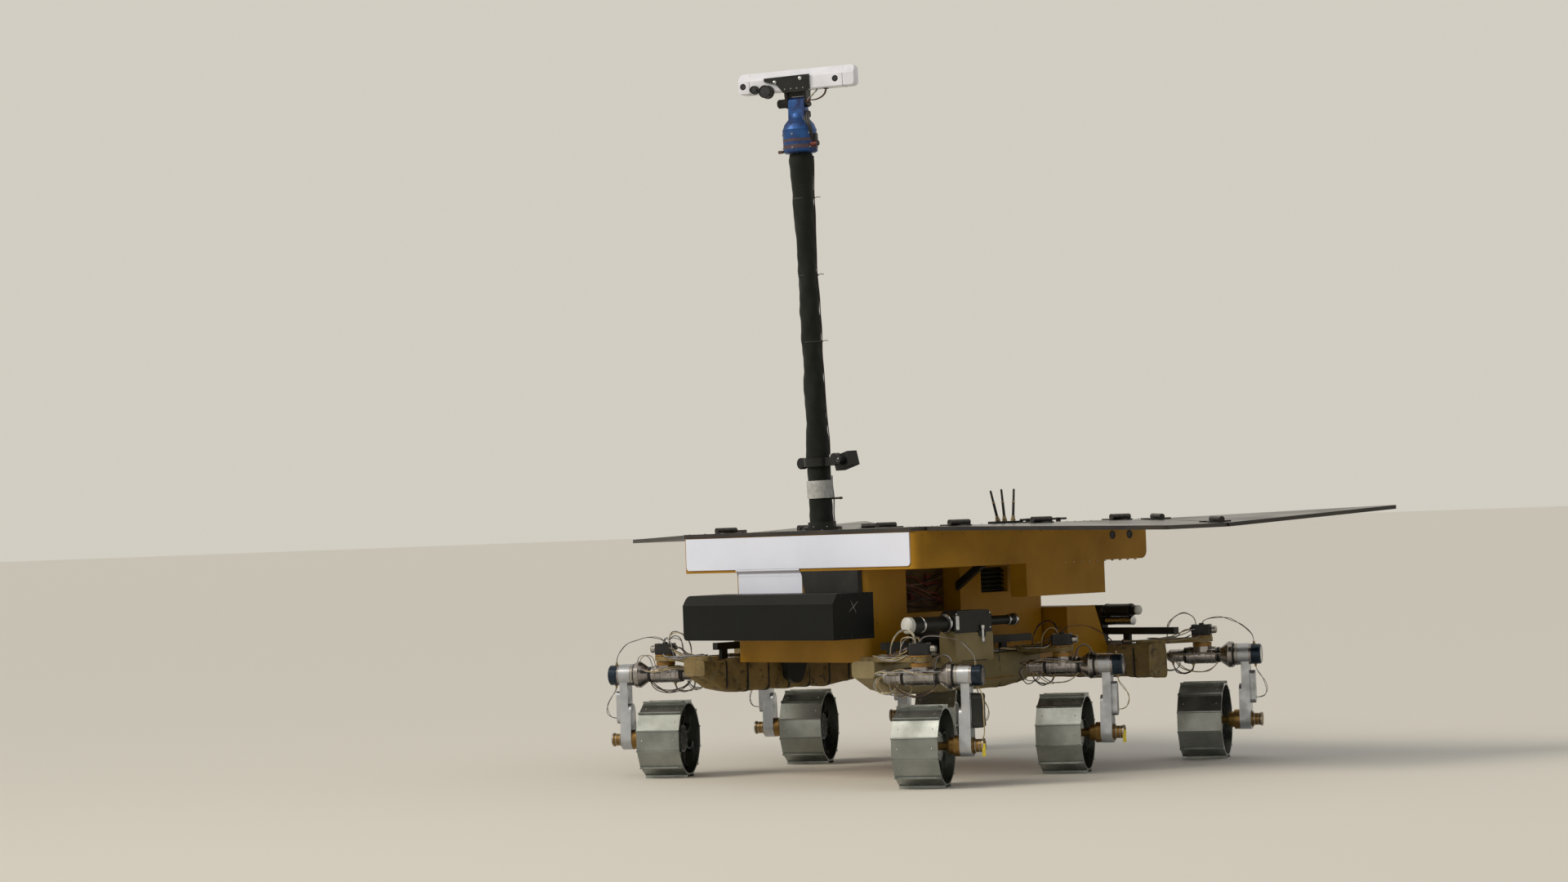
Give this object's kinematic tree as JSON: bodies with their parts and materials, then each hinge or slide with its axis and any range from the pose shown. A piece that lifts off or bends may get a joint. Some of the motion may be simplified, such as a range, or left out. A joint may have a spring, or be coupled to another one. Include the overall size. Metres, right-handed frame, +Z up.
{
  "type": "planetary rover",
  "caption": "Six-wheeled planetary rover with steered wheels on bogies, folding solar wings, a swinging drill box and a mast with a pan and tilt camera bar.",
  "frame": {"origin": "on the ground, under the middle of the whole vehicle's box", "axes": "+Z up, -Y towards the front of the rover, +X towards its left side"},
  "size_m": [2.3973, 1.6309, 2.2054],
  "materials": {
    "gold_paint": "satin",
    "white_plate": "satin",
    "black_anodised": "matte",
    "drill_cover": "matte",
    "solar_panel": "satin",
    "bogie_wrap": "matte",
    "wheel_steel": "brushed",
    "leg_aluminium": "satin",
    "drive_barrel": "satin",
    "drive_bronze": "satin",
    "motor_dark": "satin",
    "mast_sleeve": "matte",
    "tape": "matte",
    "blue_anodised": "satin",
    "camera_white": "satin",
    "cable_sheath": "matte"
  },
  "bodies": {
    "chassis": {"tub": "gold_paint", "deck_box": "gold_paint", "side_pods": "gold_paint", "rear_carrier": "gold_paint", "front_plate_upper": "white_plate", "front_plate_lower": "white_plate", "drill_mount": "black_anodised", "deck_panel": "solar_panel", "aerials": "black_anodised", "mast_foot": "black_anodised", "mast_tube": "mast_sleeve", "mast_collar": "tape", "mast_clamp": "black_anodised", "nav_camera": "black_anodised", "bogie_left": "bogie_wrap", "bogie_right": "bogie_wrap", "bogie_rear": "bogie_wrap", "rails": "black_anodised", "deck_struts": "black_anodised", "bogie_pivots": "black_anodised", "steer_motors": "motor_dark", "harness": "cable_sheath"},
    "steering_front_left": {"walk_drive_front_left": "drive_barrel", "leg_front_left": "leg_aluminium", "wheel_drive_front_left": "drive_bronze", "lead_front_left": "cable_sheath"},
    "wheel_front_left": {"wheel_front_left": "wheel_steel"},
    "steering_front_right": {"walk_drive_front_right": "drive_barrel", "leg_front_right": "leg_aluminium", "wheel_drive_front_right": "drive_bronze", "lead_front_right": "cable_sheath"},
    "wheel_front_right": {"wheel_front_right": "wheel_steel"},
    "steering_middle_left": {"walk_drive_middle_left": "drive_barrel", "leg_middle_left": "leg_aluminium", "wheel_drive_middle_left": "drive_bronze", "lead_middle_left": "cable_sheath"},
    "wheel_middle_left": {"wheel_middle_left": "wheel_steel"},
    "steering_middle_right": {"walk_drive_middle_right": "drive_barrel", "leg_middle_right": "leg_aluminium", "wheel_drive_middle_right": "drive_bronze", "lead_middle_right": "cable_sheath"},
    "wheel_middle_right": {"wheel_middle_right": "wheel_steel"},
    "steering_rear_left": {"walk_drive_rear_left": "drive_barrel", "leg_rear_left": "leg_aluminium", "wheel_drive_rear_left": "drive_bronze", "lead_rear_left": "cable_sheath"},
    "wheel_rear_left": {"wheel_rear_left": "wheel_steel"},
    "steering_rear_right": {"walk_drive_rear_right": "drive_barrel", "leg_rear_right": "leg_aluminium", "wheel_drive_rear_right": "drive_bronze", "lead_rear_right": "cable_sheath"},
    "wheel_rear_right": {"wheel_rear_right": "wheel_steel"},
    "pan_head": {"pan_unit": "blue_anodised"},
    "camera_head": {"tilt_bracket": "black_anodised", "camera_bar": "camera_white"},
    "drill": {"drill_box": "drill_cover"},
    "wing_left": {"wing_left": "solar_panel"},
    "rear_wing_left": {"rear_wing_left": "solar_panel"},
    "wing_right": {"wing_right": "solar_panel"},
    "rear_wing_right": {"rear_wing_right": "solar_panel"}
  },
  "joints": [
    {"name": "steer_front_left", "type": "hinge", "parent": "chassis", "child": "steering_front_left", "pos_m": [0.575, -0.6753, 0.327], "axis": [0, 0, 1], "range_deg": [-106.5, 43.5]},
    {"name": "roll_front_left", "type": "hinge", "parent": "steering_front_left", "child": "wheel_front_left", "pos_m": [0.575, -0.6753, 0.12126], "axis": [0.8526, 0.5225, 0], "continuous": true},
    {"name": "steer_front_right", "type": "hinge", "parent": "chassis", "child": "steering_front_right", "pos_m": [-0.575, -0.6753, 0.327], "axis": [0, 0, 1], "range_deg": [-106.5, 43.5]},
    {"name": "roll_front_right", "type": "hinge", "parent": "steering_front_right", "child": "wheel_front_right", "pos_m": [-0.575, -0.6753, 0.12126], "axis": [0.8526, 0.5225, 0], "continuous": true},
    {"name": "steer_middle_left", "type": "hinge", "parent": "chassis", "child": "steering_middle_left", "pos_m": [0.575, -0.0623, 0.327], "axis": [0, 0, 1], "range_deg": [-106.5, 43.5]},
    {"name": "roll_middle_left", "type": "hinge", "parent": "steering_middle_left", "child": "wheel_middle_left", "pos_m": [0.575, -0.0623, 0.12126], "axis": [0.8526, 0.5225, 0], "continuous": true},
    {"name": "steer_middle_right", "type": "hinge", "parent": "chassis", "child": "steering_middle_right", "pos_m": [-0.575, -0.0623, 0.327], "axis": [0, 0, 1], "range_deg": [-106.5, 43.5]},
    {"name": "roll_middle_right", "type": "hinge", "parent": "steering_middle_right", "child": "wheel_middle_right", "pos_m": [-0.575, -0.0623, 0.12126], "axis": [0.8526, 0.5225, 0], "continuous": true},
    {"name": "steer_rear_left", "type": "hinge", "parent": "chassis", "child": "steering_rear_left", "pos_m": [0.588, 0.5747, 0.327], "axis": [0, 0, 1], "range_deg": [-106.5, 43.5]},
    {"name": "roll_rear_left", "type": "hinge", "parent": "steering_rear_left", "child": "wheel_rear_left", "pos_m": [0.588, 0.5747, 0.12126], "axis": [0.8526, 0.5225, 0], "continuous": true},
    {"name": "steer_rear_right", "type": "hinge", "parent": "chassis", "child": "steering_rear_right", "pos_m": [-0.588, 0.5747, 0.327], "axis": [0, 0, 1], "range_deg": [-106.5, 43.5]},
    {"name": "roll_rear_right", "type": "hinge", "parent": "steering_rear_right", "child": "wheel_rear_right", "pos_m": [-0.588, 0.5747, 0.12126], "axis": [0.8526, 0.5225, 0], "continuous": true},
    {"name": "mast_pan", "type": "hinge", "parent": "chassis", "child": "pan_head", "pos_m": [-0.035, -0.51316, 1.94148], "axis": [0, -0.0297, 0.9996], "range_deg": [-170, 170]},
    {"name": "mast_tilt", "type": "hinge", "parent": "pan_head", "child": "camera_head", "pos_m": [-0.035, -0.51784, 2.09941], "axis": [0.891, 0.4538, 0.0135], "range_deg": [-30, 80]},
    {"name": "drill_swing", "type": "hinge", "parent": "chassis", "child": "drill", "pos_m": [0.158, -0.6443, 0.507], "axis": [0, 1, 0], "range_deg": [-90, 45]},
    {"name": "wing_fold_left", "type": "hinge", "parent": "chassis", "child": "wing_left", "pos_m": [0.526, -0.0623, 0.7765], "axis": [0, -1, 0], "range_deg": [0, 90]},
    {"name": "rear_fold_left", "type": "hinge", "parent": "wing_left", "child": "rear_wing_left", "pos_m": [0.54099, 0.3787, 0.77603], "axis": [0.8814, -0.4715, -0.0277], "range_deg": [0, 170]},
    {"name": "wing_fold_right", "type": "hinge", "parent": "chassis", "child": "wing_right", "pos_m": [-0.526, -0.0623, 0.7765], "axis": [0, 1, 0], "range_deg": [0, 90]},
    {"name": "rear_fold_right", "type": "hinge", "parent": "wing_right", "child": "rear_wing_right", "pos_m": [-0.541, 0.3787, 0.77626], "axis": [0.8817, 0.4715, 0.0139], "range_deg": [0, 170]}
  ]
}
